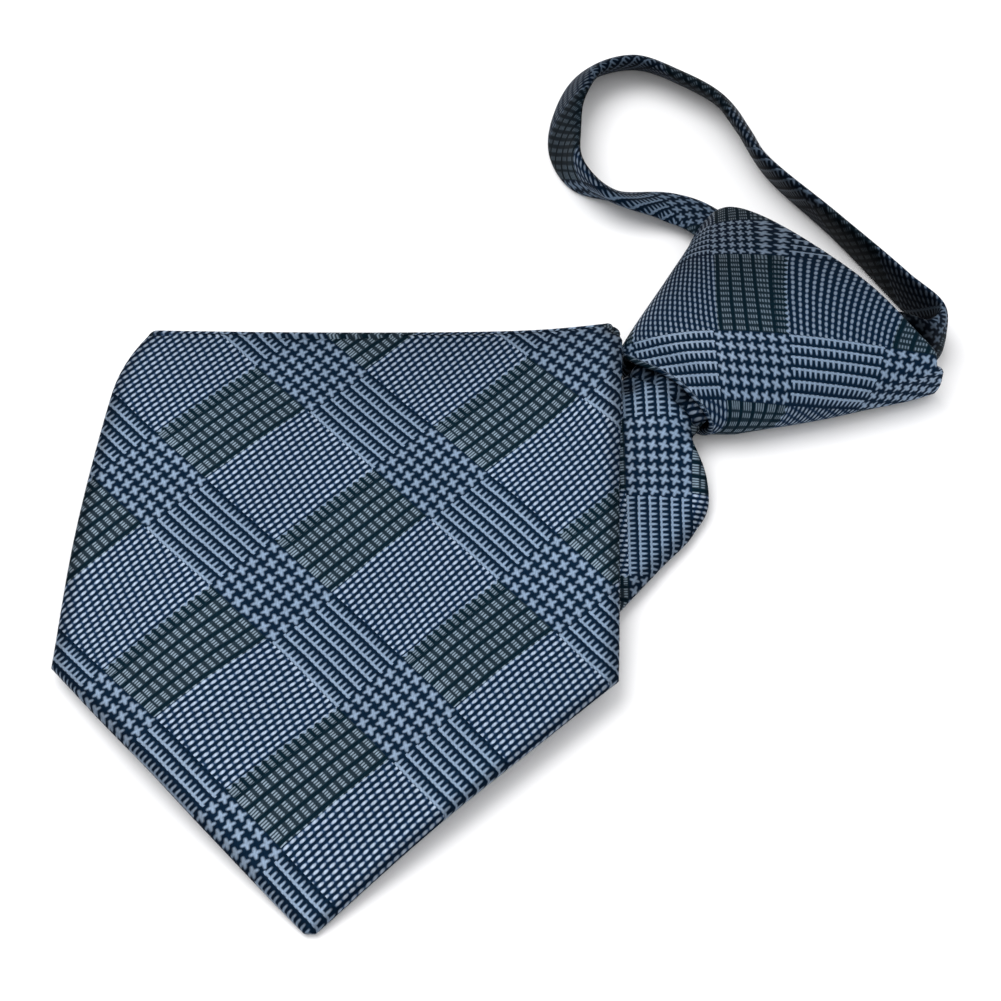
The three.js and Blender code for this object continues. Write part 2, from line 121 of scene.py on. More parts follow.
def placeMesh(name, points, uv, shade, capStart=False, capEnd=False, closeRows=False):
    # Grid closed round each row: vertex (i, j) joins (i+1, j) and (i, j+1). uv has one more column, and one
    # more row where the rows close too, so that a pattern can meet itself at a seam.
    rows, columns = points.shape[:2]
    spans = rows if closeRows else rows - 1
    i, j = np.meshgrid(np.arange(spans), np.arange(columns), indexing="ij")
    start = i * columns
    following = (i + 1) % rows * columns
    beside = (j + 1) % columns
    quads = np.stack([start + j, following + j, following + beside, start + beside], -1).reshape(-1, 4)
    corners = np.stack([uv[i, j], uv[i + 1, j], uv[i + 1, j + 1], uv[i, j + 1]], 2).reshape(-1, 4, 2)
    world = points.reshape(-1, 3) * millimetre + layOrigin
    # faces that point inwards give a volume below zero, and are turned round
    a, b, c, d = (world[quads[:, k]] for k in range(4))
    inwards = (a * np.cross(b, c)).sum() + (a * np.cross(c, d)).sum() < 0
    if inwards:
        quads = quads[:, ::-1]
        corners = corners[:, ::-1]
    faces = quads.tolist()
    flat = [corners.reshape(-1, 2)]
    ring = np.arange(columns)
    for wanted, row, atEnd in ((capStart, 0, False), (capEnd, rows - 1, True)):
        if wanted:
            order = ring[::-1] if atEnd != inwards else ring
            faces.append((row * columns + order).tolist())
            flat.append(uv[row, order])
    mesh = bpy.data.meshes.new(name)
    mesh.from_pydata(world.tolist(), [], faces)
    layer = mesh.uv_layers.new(name="Cloth")
    layer.data.foreach_set("uv", np.concatenate(flat).astype(np.float32).ravel())
    # shade is the painted light and shade of each vertex, stored as the Shade attribute
    levels = np.broadcast_to(shade, points.shape[:2]).astype(np.float32).ravel()
    mesh.attributes.new("Shade", "FLOAT", "POINT").data.foreach_set("value", levels)
    mesh.polygons.foreach_set("use_smooth", np.ones(len(faces), bool))
    mesh.update()
    mesh.validate()
    piece = bpy.data.objects.new(name, mesh)
    addToScene(piece)
    return piece


# Shader helpers: one class wraps a socket, so that node maths reads as Python

class Wire:
    def __init__(self, tree, socket):
        self.tree = tree
        self.socket = socket

    def math(self, operation, *others, clamp=False):
        settings = {"operation": operation, "use_clamp": clamp}
        return makeNode(self.tree, "ShaderNodeMath", settings, dict(enumerate((self, *others))))

    def __add__(self, other):
        return self.math("ADD", other)

    def __sub__(self, other):
        return self.math("SUBTRACT", other)

    def __rsub__(self, other):
        return self.math("MULTIPLY_ADD", -1.0, other)

    def __mul__(self, other):
        return self.math("MULTIPLY", other)

    def __truediv__(self, other):
        return self.math("DIVIDE", other)

    def __pow__(self, other):
        return self.math("POWER", other)

    def __lt__(self, other):
        return self.math("LESS_THAN", other)

    def __gt__(self, other):
        return self.math("GREATER_THAN", other)

    def __abs__(self):
        return self.math("ABSOLUTE")

    __radd__ = __add__
    __rmul__ = __mul__

    def fract(self):
        return self.math("FRACT")

    def most(self, other):
        return self.math("MAXIMUM", other)

    def between(self, low, high):
        return (self > low) * (self < high)

    def ramp(self, low, high):
        # 0 at low, 1 at high, straight between
        return (self - low).math("DIVIDE", high - low, clamp=True)

    def choose(self, yes, no):
        # yes where this is 1, no where it is 0
        return self * yes + (1 - self) * no


def makeNode(tree, kind, settings=None, inputs=None, output=0):
    # a node of a type, with its settings, then values or wires into its sockets
    node = tree.nodes.new(kind)
    for key, value in (settings or {}).items():
        setattr(node, key, value)
    for key, value in (inputs or {}).items():
        if isinstance(value, Wire):
            tree.links.new(value.socket, node.inputs[key])
        else:
            node.inputs[key].default_value = value
    return Wire(tree, node.outputs[output]) if len(node.outputs) else None


def newMaterial(name):
    # an empty material, its node tree and the two axes of its cloth map
    material = bpy.data.materials.new(name)
    material.use_nodes = True
    tree = material.node_tree
    tree.nodes.clear()
    uv = makeNode(tree, "ShaderNodeUVMap", {"uv_map": "Cloth"})
    x, y = (makeNode(tree, "ShaderNodeSeparateXYZ", None, {0: uv}, output=axis) for axis in range(2))
    return material, tree, uv, x, y


def clothNoise(tree, uv, scale, detail, roughness=0.5):
    return makeNode(tree, "ShaderNodeTexNoise", {"noise_dimensions": "2D"},
                    {"Vector": uv, "Scale": scale, "Detail": detail, "Roughness": roughness})


def blend(tree, share, low, high):
    # low where share is 0, high where it is 1
    return makeNode(tree, "ShaderNodeMix", {"data_type": "RGBA"}, {0: share, 6: low, 7: high}, output=2)


def rgb(red, green, blue):
    # screen colour from 0 to 255 as linear light
    def linear(level):
        return ((level / 255 + 0.055) / 1.055) ** 2.4 if level > 10 else level / 3295

    return linear(red), linear(green), linear(blue), 1.0


# The plaid, charted. One repeat is 1 by 1 in the Cloth map, with the middle of a houndstooth block at
# whole numbers. Along U it has 7 broad columns and 16 fine ones, along V 6 broad rows and 15 fine ones. The
# sizes of yarns are shares of a cell, and pairs are where a soft edge begins and ends.

plaid = {
    "repeatU": 28.82, "repeatV": 33.2,  # millimetres
    "broadU": 0.4667, "broadV": 0.381,  # shares of the houndstooth block
    "broadColumns": 7, "fineColumns": 16,
    "broadRows": 6, "fineRows": 15,
    "starArms": [{"turn": -24, "reach": 0.47, "width": 0.172, "tip": 0.085},
                 {"turn": 73, "reach": 0.45, "width": 0.162, "tip": 0.075}],
    "starBlur": 0.075,
    "lineAt": 0.13, "lineEdge": (0.04, 0.13),
    "toothWidth": 0.28, "toothTaper": 0.20, "toothLean": 0.15, "toothBlur": 0.10, "toothEnd": (0.62, 0.80),
    "ovalWide": 0.28, "ovalHigh": 0.44, "ovalEdge": (0.20, 1.15), "ovalStep": 0.25, "ovalLean": 0.04,
    "stringEdge": (0.12, 0.32),  # joins the ovals of a column
    "groupStart": 0.087, "groupPitch": 0.0843, "groupWidth": 0.0624, "groupsEnd": 0.4333,
    "firstGroup": (0.019, 0.068), "firstLight": 0.75,
    "groupTicks": 4, "tickLean": 0.25, "tickEdge": (0.12, 0.34), "tickHigh": 0.25, "firstTickHigh": 0.44,
    "tickBlur": 0.08, "besideTicks": 0.12, "betweenTicks": 0.05,
    "edgeDots": 0.017, "dotNarrow": 0.3, "dotEdge": (0.22, 0.5),
    "star": rgb(140, 166, 196), "oval": rgb(186, 206, 232), "tick": rgb(146, 170, 190),
    "dark": rgb(11, 34, 56), "ground": rgb(9, 33, 45), "between": rgb(56, 84, 120),
    "light": 0.60,  # lowers every colour to suit the lamps
    "glint": rgb(190, 215, 255), "specular": 0.02,
    "roughDark": 0.6, "roughLight": 0.45, "coatRough": 0.42, "coatIndex": 1.5,
    "threads": 120.0, "twill": 58.0,  # across one repeat
    "wobble": (0.006, 0.004), "wobbleScale": 9.0,  # uneven weaving
    "yarnScale": 44.0, "yarnLow": 0.5, "yarnVaries": 0.8, "twillVaries": 0.4,
    "broadScale": 1.3, "broadVaries": 0.3,
    "relief": 0.00007,  # height of the light yarns in metres
    "yarnHeight": 0.7, "threadHeight": 0.15, "fuzzHeight": 0.3,
}
fineWide = (1 - plaid["broadU"]) / plaid["fineColumns"]
fineHigh = (1 - plaid["broadV"]) / plaid["fineRows"]


def turned(x, y, degrees):
    # the same point in axes turned by an angle
    c, s = direction(degrees)
    return x * c + y * s, y * c - x * s


def softBar(along, across, arm):
    # 1 inside a bar that narrows from its width in the middle to its tips, with blurred sides
    blur = plaid["starBlur"]
    edge = arm["width"] - abs(along) * ((arm["width"] - arm["tip"]) / arm["reach"])
    side = (abs(across) - edge).ramp(-blur, blur)
    end = abs(along).ramp(arm["reach"] - blur, arm["reach"] + blur)
    return (1 - side) * (1 - end)


def starYarns(u, rowCell):
    # a four-armed star in each cell of the broad block
    x = (u * (plaid["broadColumns"] / plaid["broadU"])).fract() - 0.5
    y = rowCell - 0.5
    longArm, shortArm = (softBar(*turned(x, y, arm["turn"]), arm) for arm in plaid["starArms"])
    return longArm.most(shortArm)


def combYarns(u, rowCell):
    # a light line along U with teeth towards V
    column = (u - plaid["broadU"]) / fineWide
    tooth = abs((column + rowCell * plaid["toothLean"]).fract() - 0.5)
    width = plaid["toothWidth"] - rowCell * plaid["toothTaper"]
    side = (tooth - width).ramp(-plaid["toothBlur"], plaid["toothBlur"])
    teeth = (1 - side) * (1 - rowCell.ramp(*plaid["toothEnd"]))
    line = 1 - abs(rowCell - plaid["lineAt"]).ramp(*plaid["lineEdge"])
    return line.most(teeth)


def ovalYarns(u, fineRow):
    # ovals, each column a quarter lower than the last, and the string that joins each column's ovals
    column = (u - plaid["groupsEnd"]) / fineWide + fineRow * plaid["ovalLean"]
    x = column.fract() - 0.5
    y = (fineRow + column.math("FLOOR") * plaid["ovalStep"]).fract() - 0.5
    oval = 1 - ((x / plaid["ovalWide"]) ** 2 + (y / plaid["ovalHigh"]) ** 2).ramp(*plaid["ovalEdge"])
    return oval, 1 - abs(x).ramp(*plaid["stringEdge"])


def tickYarns(u, fineRow):
    # groups of four ticks after a narrow first group, longer in the first row, and the dots along the edge
    inRow = fineRow.fract()
    fromMiddle = abs(inRow - 0.5)
    pitch = plaid["groupPitch"]
    share = ((u - plaid["groupStart"]) / pitch).fract() * (pitch / plaid["groupWidth"])
    later = (u > plaid["groupStart"]) * (share < 1)
    groups = later.most(u.between(*plaid["firstGroup"]) * plaid["firstLight"])
    high = (fineRow < 1).choose(plaid["firstTickHigh"], plaid["tickHigh"])
    row = 1 - (fromMiddle - high).ramp(-plaid["tickBlur"], plaid["tickBlur"])
    side = abs((share * plaid["groupTicks"] + inRow * plaid["tickLean"]).fract() - 0.5)
    tick = (1 - side.ramp(*plaid["tickEdge"])) * row
    ticks = groups * (tick * (1 - plaid["besideTicks"]) + row * plaid["besideTicks"])
    ticks = ticks + (1 - row) * later * plaid["betweenTicks"]
    narrowing = u * (plaid["dotNarrow"] / plaid["edgeDots"])
    dots = (u < plaid["edgeDots"]) * (1 - (fromMiddle + narrowing).ramp(*plaid["dotEdge"]))
    return ticks, dots


def tinted(colour, share):
    # darker, and a little bluer the darker it gets
    return (colour[0] * share ** 1.15, colour[1] * share, colour[2] * share ** 0.92, 1.0)


def plaidMaterial(name, shade=1.0, ovals=1.0, groups=1.0, gloss=0.7):
    # The chart as light yarns on dark, in four blocks: stars, combs, ticks and ovals. shade, ovals and groups
    # paint shade over the whole, the ovals and the ticks, and gloss is the light yarns' coat.
    material, tree, uv, x, y = newMaterial(name)
    wobble = clothNoise(tree, uv, plaid["wobbleScale"], 1.0) - 0.5
    cross = x + wobble * plaid["wobble"][0]
    along = y + wobble * plaid["wobble"][1]
    u = (cross + plaid["broadU"] / 2).fract()
    v = (along + plaid["broadV"] / 2).fract()
    inU = u < plaid["broadU"]
    inV = v < plaid["broadV"]
    beforeOvals = u < plaid["groupsEnd"]
    inTicks = beforeOvals * (1 - inV)
    inOvals = (1 - inV) * (1 - beforeOvals)
    rowCell = (v * (plaid["broadRows"] / plaid["broadV"])).fract()
    fineRow = (v - plaid["broadV"]) / fineHigh
    oval, string = ovalYarns(u, fineRow)
    ticks, dots = tickYarns(u, fineRow)
    broadBlocks = inU.choose(starYarns(u, rowCell), combYarns(u, rowCell))
    light = inV.choose(broadBlocks, inTicks.choose(ticks.most(dots), oval))

    # colour, a little uneven along each yarn and over the whole, times the painted shade
    lights = blend(tree, inTicks * (1 - dots), plaid["star"], tinted(plaid["tick"], groups))
    lights = blend(tree, inOvals, lights, tinted(plaid["oval"], ovals))
    darks = blend(tree, inTicks, plaid["dark"], plaid["ground"])
    darks = blend(tree, inOvals * string, darks, tinted(plaid["between"], ovals))
    cloth = blend(tree, light, darks, lights)
    yarn = clothNoise(tree, uv, plaid["yarnScale"], 2.0, 0.7)
    broad = clothNoise(tree, uv, plaid["broadScale"], 2.0)
    # painted light and shade of each vertex
    paintedShade = makeNode(tree, "ShaderNodeAttribute", {"attribute_name": "Shade"}, None, output=2)
    twill = abs(((cross + along) * plaid["twill"]).fract() - 0.5)
    level = yarn * plaid["yarnVaries"] + plaid["yarnLow"] + twill * plaid["twillVaries"]
    level = level * (broad * plaid["broadVaries"] + (1 - plaid["broadVaries"] / 2))
    level = level * paintedShade * (shade * plaid["light"])
    shadeColour = makeNode(tree, "ShaderNodeCombineXYZ", None, {0: level, 1: level, 2: level})
    colour = makeNode(tree, "ShaderNodeMix", {"data_type": "RGBA", "blend_type": "MULTIPLY"},
                      {0: 1.0, 6: cloth, 7: shadeColour}, output=2)

    # relief: light yarns stand proud, and every thread is a small rib
    ribs = 2 - abs((cross * plaid["threads"]).fract() - 0.5) - abs((along * plaid["threads"]).fract() - 0.5)
    height = light * plaid["yarnHeight"] + ribs * plaid["threadHeight"] + yarn * plaid["fuzzHeight"]
    relief = makeNode(tree, "ShaderNodeBump", None,
                      {"Strength": 0.5, "Distance": plaid["relief"], "Height": height})
    shader = makeNode(tree, "ShaderNodeBsdfPrincipled", None, {
        "Base Color": colour, "Normal": relief,
        "Roughness": plaid["roughDark"] - light * (plaid["roughDark"] - plaid["roughLight"]),
        "Specular IOR Level": plaid["specular"], "Specular Tint": plaid["glint"],
        "Coat Weight": light * gloss, "Coat Roughness": plaid["coatRough"], "Coat IOR": plaid["coatIndex"],
    })
    makeNode(tree, "ShaderNodeOutputMaterial", None, {"Surface": shader})
    return material


# Front blade: one long strip, worked out by its own two lengths t across and s along from the knot

blade = {
    "thickness": 1.8, "layerGap": 0.35, "clearance": 0.3,
    "width": 85.0, "foldWidth": 79.8, "neckWidth": 46.0, "mouthWidth": 15.8,
    "pointLength": 42.5, "pointSwell": 1.0, "topLength": 110.2, "backLength": 59.8,
    "cornerLength": 14.0, "cornerDepth": 3.7, "cornerCurve": 2.2,  # the fold's left end
    "nearCorner": 1.5,  # rounding of the fold's right end
    "foldBow": 0.75, "bowReach": 14.0,  # its ends lie further back
    "nearSwell": 0.6, "swellFrom": 25.0, "swellReach": 40.0,  # the right edge bellies out
    "flareLength": 37.0, "tuckLength": 10.0, "mouthArch": 1.8, "liftReach": 10.0,
    "tipRadius": 0.9, "tipHeight": 1.0, "tipFall": 1.35, "tipTaper": 2.0,
    "leftDroop": 0.62, "rightDroop": 0.34, "droopFrom": 0.4, "droopReach": 0.9,
    "mouthHeight": 7.2, "tailThickness": 1.3,
    "backHeading": 92.4, "topHeading": 267.6,
    "backCorner": (-22.5, 27.9),  # middle of the back fold's crease
    "flatColumns": 60, "edgeColumns": 9, "crowding": 0.35,
    "foldShade": 0.14, "foldReach": 3.0,  # painted shade where the cloth turns over at the back fold
    # painted shade down the slope after the fold
    "slopeShade": 0.22, "slopeReach": 12.0,
    "edgeShade": 0.5, "edgeReach": 1.1,  # painted shade where it turns under at the edges
    "rimShade": 0.55, "rimReach": 1.6,  # painted shadow where it goes into the knot
    "pockets": [{"x": 24.3, "y": 20.6, "size": 1.5},  # dents under the knot's rim
                {"x": 20.7, "y": 18.2, "size": 1.7},
                {"x": 29.6, "y": 15.4, "size": 1.5}],
    # depth of the dents, and painted shadow in them
    "pocketDepth": 0.8, "pocketShade": 0.7,
    "tipCell": (2.625, -0.962),  # place of the tip in the plaid
    "drift": -0.07, "driftAt": (-26.0, -33.0), "driftReach": 18.0,  # the cloth is pushed there
    "stretchSlip": (-0.289, -0.009),  # the plaid slips in the stretch
    "stretchGather": 0.23, "gatherFrom": 3.832,  # and narrows with the gathers
    "waves": [{"height": 0.16, "length": 46.0, "heading": 20.0, "phase": 0.4},
              {"height": 0.12, "length": 31.0, "heading": 75.0, "phase": 2.1},
              {"height": 0.08, "length": 19.0, "heading": 130.0, "phase": 4.0}],
}
flareRows = [
    {"at": 0.00, "near": 0.00, "far": 0.00},
    {"at": 0.08, "near": 0.06, "far": 0.02},
    {"at": 0.14, "near": 0.38, "far": 0.08},
    {"at": 0.21, "near": 0.60, "far": 0.14},
    {"at": 0.39, "near": 0.80, "far": 0.34},
    {"at": 0.61, "near": 0.87, "far": 0.63},
    {"at": 1.00, "near": 1.00, "far": 1.00},
]
knot = {
    "place": (26.5, 16.5), "heading": 39.0, "length": 35.0, "wall": 2.2,
    "narrowWidth": 21.8, "wideWidth": 49.0, "narrowHeight": 10.6, "wideHeight": 15.6,
    "narrowTurn": -50.4, "wideTurn": -44.0,  # directions of the two rims
    "underside": 0.7, "waistRise": 0.9,
    "crownNear": 2.1, "crownFar": 2.4,  # powers of the crown's section
    "lip": 1.3, "lipLength": 0.11,  # the narrow rim thins to a soft edge
    "drawnBack": 2.2, "drawnReach": 0.6,  # its front is drawn back
    "cuts": [{"depth": 1.1, "angle": -0.25, "width": 0.3},  # gather in the wide rim
             {"depth": 1.3, "angle": 0.22, "width": 0.13},  # fold in its right end
             {"depth": 1.0, "angle": 0.72, "width": 0.42}],  # it lies back beside the band
    "exitDepth": 7.0, "exitAngle": 0.35 - math.pi, "exitWidths": (0.42, 0.9),  # the band comes out here
    "around": 180, "rows": 72, "rimRows": 7,
    "fan": 55.0,  # from the narrow end to the fan's point
    "blockEast": 55.45, "blockNorth": 35.12,
    "tightU": 1.22, "tightV": 1.05, "easeV": -0.2,  # the plaid lies closer here
    "slantV": 0.136, "shiftV": -0.015,  # the wrap pulls the plaid askew
    "skewU": 0.5, "skewFrom": -0.1,
    # painted highlight on the knot's front slope, painted shade towards its back and top
    "frontShade": 1.12, "topShade": 0.62, "shadeFrom": 20.0, "shadeReach": 26.0,  # painted highlight and shade
    "innerShade": 0.8,  # painted shade inside the rims
}

knotPlace = np.array(knot["place"])
pitch = blade["thickness"] + blade["layerGap"]
rollRadius = pitch / 2
rollLength = math.pi * rollRadius
runHeight = blade["tailThickness"] + blade["clearance"] + blade["thickness"] / 2
backHeight = runHeight + pitch
topHeight = backHeight + pitch


def creaseBetween(headingIn, headingOut):
    # the crease halves the angle between two headings, and out points across it, away from the cloth
    crease = direction((headingIn + headingOut) / 2)
    out = np.array([-crease[1], crease[0]])
    return crease, (-out if out @ direction(headingIn) < 0 else out)


def planRuns():
    # Three runs, mirrored across two creases. The first one's heading settles in a few rounds.
    backCorner = np.array(blade["backCorner"])
    start = backCorner - direction(blade["backHeading"]) * blade["backLength"]
    frontCorner = start
    for _ in range(6):
        away = frontCorner - knotPlace
        heading = math.degrees(math.atan2(away[1], away[0])) + 360
        frontCrease, frontOut = creaseBetween(heading, blade["backHeading"])
        frontCorner = start - frontOut * rollLength
    backCrease, backOut = creaseBetween(blade["backHeading"], blade["topHeading"])
    runLength = float(norm(frontCorner - knotPlace))
    starts = [0.0, runLength, runLength + blade["backLength"]]
    runs = [
        {"place": knotPlace, "head": direction(heading), "side": direction(heading + 90)},
        {"place": start, "head": direction(blade["backHeading"]),
         "side": direction(blade["backHeading"] - 90)},
        {"place": backCorner + backOut * rollLength, "head": direction(blade["topHeading"]),
         "side": direction(blade["topHeading"] + 90)},
    ]
    folds = [(frontCrease, frontOut, frontCorner), (backCrease, backOut, backCorner)]
    for run, begin, height in zip(runs, starts, (runHeight, backHeight, topHeight)):
        run.update(start=begin, height=height)
    for run, (crease, out, corner) in zip(runs, folds):
        lean = (crease @ run["head"]) / (crease @ run["side"])
        run.update(crease=crease, out=out, corner=corner, lean=lean)
    return runs


runs = planRuns()
frontFold = runs[1]["start"]
backFold = runs[2]["start"]
tipStation = backFold + blade["topLength"]
cornerStation = tipStation - blade["pointLength"]


def halfWidth(s, near):
    # half width of the strip: gathers opening out, even run, widening, and the straight sides of the point
    key = "near" if near else "far"
    neck, wide = blade["neckWidth"] / 2, blade["width"] / 2
    flare = mix(blade["mouthWidth"] / 2, neck, readTable(flareRows, key, s / blade["flareLength"]))
    atFold = wide if near else blade["foldWidth"] - wide
    fromFold = np.maximum(0, np.abs(s - backFold - rollLength / 2) - rollLength / 2)
    inside = np.maximum(0, 1 - fromFold / blade["nearCorner" if near else "cornerLength"])
    if near:
        rounding = blade["nearCorner"] * (1 - np.sqrt(1 - inside ** 2))
    else:
        rounding = blade["cornerDepth"] * inside ** blade["cornerCurve"]
    back = mix(neck, atFold, (s - frontFold) / blade["backLength"]) - rounding
    widen = np.sin(math.pi / 2 * np.clip((s - backFold) / (cornerStation - backFold), 0, 1))
    top = mix(atFold, wide, widen) - rounding
    share = np.clip((s - cornerStation) / blade["pointLength"], 0, 1)
    if near:
        top = top + blade["nearSwell"] * smooth((s - backFold - blade["swellFrom"]) / blade["swellReach"])
        swell = blade["nearSwell"] * (1 - share) ** 2
    else:
        swell = blade["pointSwell"] * np.sin(math.pi * share)
    point = mix(wide, blade["tipRadius"], share) + swell
    out = np.where(s < blade["flareLength"], flare, neck)
    out = np.where(s > frontFold, back, out)
    out = np.where(s > backFold, top, out)
    return np.where(s > cornerStation, point, out)


def topHeights(side, s):
    # height of the top run: it falls to the tip and droops at both corners
    fromTip = tipStation - s
    ramp = 1 - np.maximum(0, 1 - fromTip / blade["pointLength"]) ** blade["tipFall"]
    fromCorners = (fromTip / blade["pointLength"] - 1) / blade["droopReach"]
    across = side / (blade["width"] / 2)
    outer = 1 - blade["droopFrom"]
    droop = (blade["leftDroop"] * smooth((-across - blade["droopFrom"]) / outer)
             + blade["rightDroop"] * smooth((across - blade["droopFrom"]) / outer))
    level = ramp * (1 - (1 - smooth(fromCorners)) * droop)
    return blade["tipHeight"] + (topHeight - blade["tipHeight"]) * level


def runHeights(k, t, s, xy):
    # height of the strip's middle in run k, before the knot's mouth lifts it
    if k == 0:
        half = np.where(t > 0, halfWidth(s, True), halfWidth(s, False))
        arch = blade["mouthArch"] * (1 - smooth(s / blade["flareLength"])) * (t / half) ** 2
        return runHeight - arch
    if k == 1:
        return backHeight
    return topHeights(runs[2]["side"][0] * t, s) + ripple(xy[..., 0], xy[..., 1], blade["waves"])


def stripMiddle(t, s):
    # Middle surface of the strip: each run is a plane, each fold half a turn round its crease, and the cloth
    # rises round the knot's mouth by a bell
    t, s = np.broadcast_arrays(np.asarray(t, float), np.asarray(s, float))
    lift = blade["mouthHeight"] - runHeight

    def liftAt(xy):
        away = norm(xy - knotPlace, axis=-1) / blade["liftReach"]
        return lift * np.exp(-away * away / 2)

    out = np.zeros((*s.shape, 3))
    done = np.zeros(s.shape, bool)

    def fill(here, xy, z):
        here = here & ~done
        out[here] = np.concatenate([xy, z[..., None]], -1)[here]
        done[here] = True

    for k, run in enumerate(runs):
        xy = run["place"] + (s - run["start"])[..., None] * run["head"] + t[..., None] * run["side"]
        z = runHeights(k, t, s, xy) + np.where(s > 0, liftAt(xy), lift)
        if k == 2:
            fill(~done, xy, z)
            break
        end = runs[k + 1]["start"]
        past = (s - end - t * run["lean"]) / math.hypot(1, run["lean"])
        fill(past < 0, xy, z)
        aside = ((s - end)[..., None] * run["head"] + t[..., None] * run["side"]) @ run["crease"]
        turn = past / rollRadius
        over = (rollRadius * np.sin(turn))[..., None] * run["out"]
        xy = run["corner"] + aside[..., None] * run["crease"] + over
        fill(past < rollLength, xy, run["height"] + rollRadius * (1 - np.cos(turn)) + liftAt(xy))
    return out


def stripRows():
    # rows along the strip and their slant, close together in the folds and near the tip
    first, second = runs[0]["lean"], runs[1]["lean"]
    frontEnd = frontFold + rollLength * math.hypot(1, first)
    backEnd = backFold + rollLength * math.hypot(1, second)
    flare = blade["flareLength"]
    # from, to, slant at each and how many
    parts = [
        (-blade["tuckLength"], 0.0, 0.0, 0.0, 8),
        (0.5, 0.5 * flare, 0.0, 0.0, 34),
        (0.52 * flare, frontFold - 0.01, 0.02 * first, first, 50),
        (frontFold, frontEnd, first, first, 18),
        (frontEnd + 0.5, backFold - 0.01, first, second, 46),
        (backFold, backEnd, second, second, 18),
        (backEnd + 0.3, cornerStation, second, 0.0, 96),
        (cornerStation + 0.3, tipStation - 2.0, 0.0, 0.0, 74),
        (tipStation - 1.8, tipStation, 0.0, 0.0, 8),
    ]
    s = np.concatenate([np.linspace(begin, end, count) for begin, end, _, _, count in parts])
    lean = np.concatenate([np.linspace(begin, end, count) for _, _, begin, end, count in parts])
    return s, lean


def edgeOf(s, lean, near):
    # where a slanting row meets the strip's edge, settled in a few rounds
    sign = 1 if near else -1
    t = sign * halfWidth(s, near)
    for _ in range(8):
        t = sign * halfWidth(np.minimum(s + t * lean, tipStation), near)
    return t[:, None]


def bladeSection():
    # Place across, aside and up of each column: level on top, half a circle round each edge, level below,
    # from the middle of the underside on
    across = np.linspace(-1, 1, blade["flatColumns"])
    across = mix(across, np.sin(across * math.pi / 2), blade["crowding"])
    level = np.zeros(len(across))
    turn = np.linspace(0, math.pi, blade["edgeColumns"] + 2)[1:-1]
    upper = np.stack([across, level, level + 1], -1)
    under = np.stack([across[::-1], level, level - 1], -1)
    rightEdge = np.stack([np.ones(len(turn)), np.sin(turn), np.cos(turn)], -1)
    half = len(across) // 2
    return np.concatenate([under[half:], -rightEdge, upper, rightEdge, under[:half]]).T


def bladeMap(length, at, points):
    # Place in the plaid of cloth cut at 45 degrees to its yarns: the sum and difference of both lengths from
    # the tip, over the root of 2
    fromTip = tipStation - at
    cross = blade["tipCell"][0] + (length - fromTip) / math.sqrt(2) / plaid["repeatU"]
    along = blade["tipCell"][1] + (length + fromTip) / math.sqrt(2) / plaid["repeatV"]
    away = norm(points[..., :2] - np.array(blade["driftAt"]), axis=-1)
    cross = cross + blade["drift"] * bump(away, blade["driftReach"]) * (at > backFold)
    slip = 1 - smooth((at - frontFold) / blade["backLength"])
    cross = cross + slip * blade["stretchSlip"][0]
    gather = blade["stretchGather"] * (along - blade["gatherFrom"])
    along = along + slip * (blade["stretchSlip"][1] + gather)
    return np.stack([cross, along], -1)


def bladePiece():
    # The section is carried along the middle surface on its normal
    s, lean = stripRows()
    low, high = edgeOf(s, lean, False), edgeOf(s, lean, True)
    place, aside, up = bladeSection()
    taper = np.sqrt(np.clip((tipStation + 0.3 - s) / blade["tipTaper"], 0.02, 1.0))
    r = blade["thickness"] / 2 * taper[:, None]
    t = np.where(place >= 0, place * (high - r), -place * (low + r))
    at = np.minimum(s[:, None] + t * lean[:, None], tipStation)
    step = 0.05
    alongT = stripMiddle(t + step, at) - stripMiddle(t - step, at)
    alongS = stripMiddle(t, at + step) - stripMiddle(t, at - step)
    normal = surfaceNormal(alongS, alongT)
    sideways = alongT / norm(alongT, axis=-1, keepdims=True)
    points = stripMiddle(t, at) + normal * (up * r)[..., None] + sideways * (aside * r)[..., None]

    # cloth lengths: across the top, on round the edge and back underneath
    levelEnd = np.where(place >= 0, high - r, -(low + r))
    across = np.where(up == -1, 2 * levelEnd - np.abs(t), np.abs(t))
    length = np.sign(place) * (across + np.abs(np.arctan2(np.abs(aside), up)) * r)
    length = np.concatenate([length, -length[:, :1]], 1)
    uv = bladeMap(length, closeRing(at), closeRing(points))

    # painted shade at the fold, down the slope after it and at the edges
    fromRoll = np.maximum(0, at - backFold - rollLength)
    dark = blade["foldShade"] * np.exp(-fromRoll / blade["foldReach"])
    dark = dark + blade["slopeShade"] * np.exp(-fromRoll / blade["slopeReach"])
    shade = 1 - dark * (at > backFold + rollLength / 2)
    fromEdge = np.where(place >= 0, high - r - t, t - low - r)
    shade = shade * (1 - blade["edgeShade"] * bump(fromEdge, blade["edgeReach"]))

    # the fold's ends lie further back, and the stretch is dented under the knot's rim, with painted shadow
    # there
    bow = ((points[..., 0] - blade["backCorner"][0]) / (blade["width"] / 2)) ** 2
    points[..., 1] += blade["foldBow"] * bow * bump(at - backFold - rollLength / 2, blade["bowReach"])
    inStretch = (at < frontFold) & (up > 0.2)
    away = (points[..., :2] - knotPlace) @ direction(knot["narrowTurn"] - 90)
    rim = np.exp(-np.maximum(0, away) / blade["rimReach"])
    shade = shade * (1 - blade["rimShade"] * rim * inStretch)
    for dent in blade["pockets"]:
        away = np.hypot(points[..., 0] - dent["x"], points[..., 1] - dent["y"])
        pocket = bump(away, dent["size"]) * inStretch
        shade = shade * (1 - blade["pocketShade"] * pocket)
        points[..., 2] -= blade["pocketDepth"] * pocket
    return placeMesh("blade_cloth", points, uv, shade, capStart=True, capEnd=True)


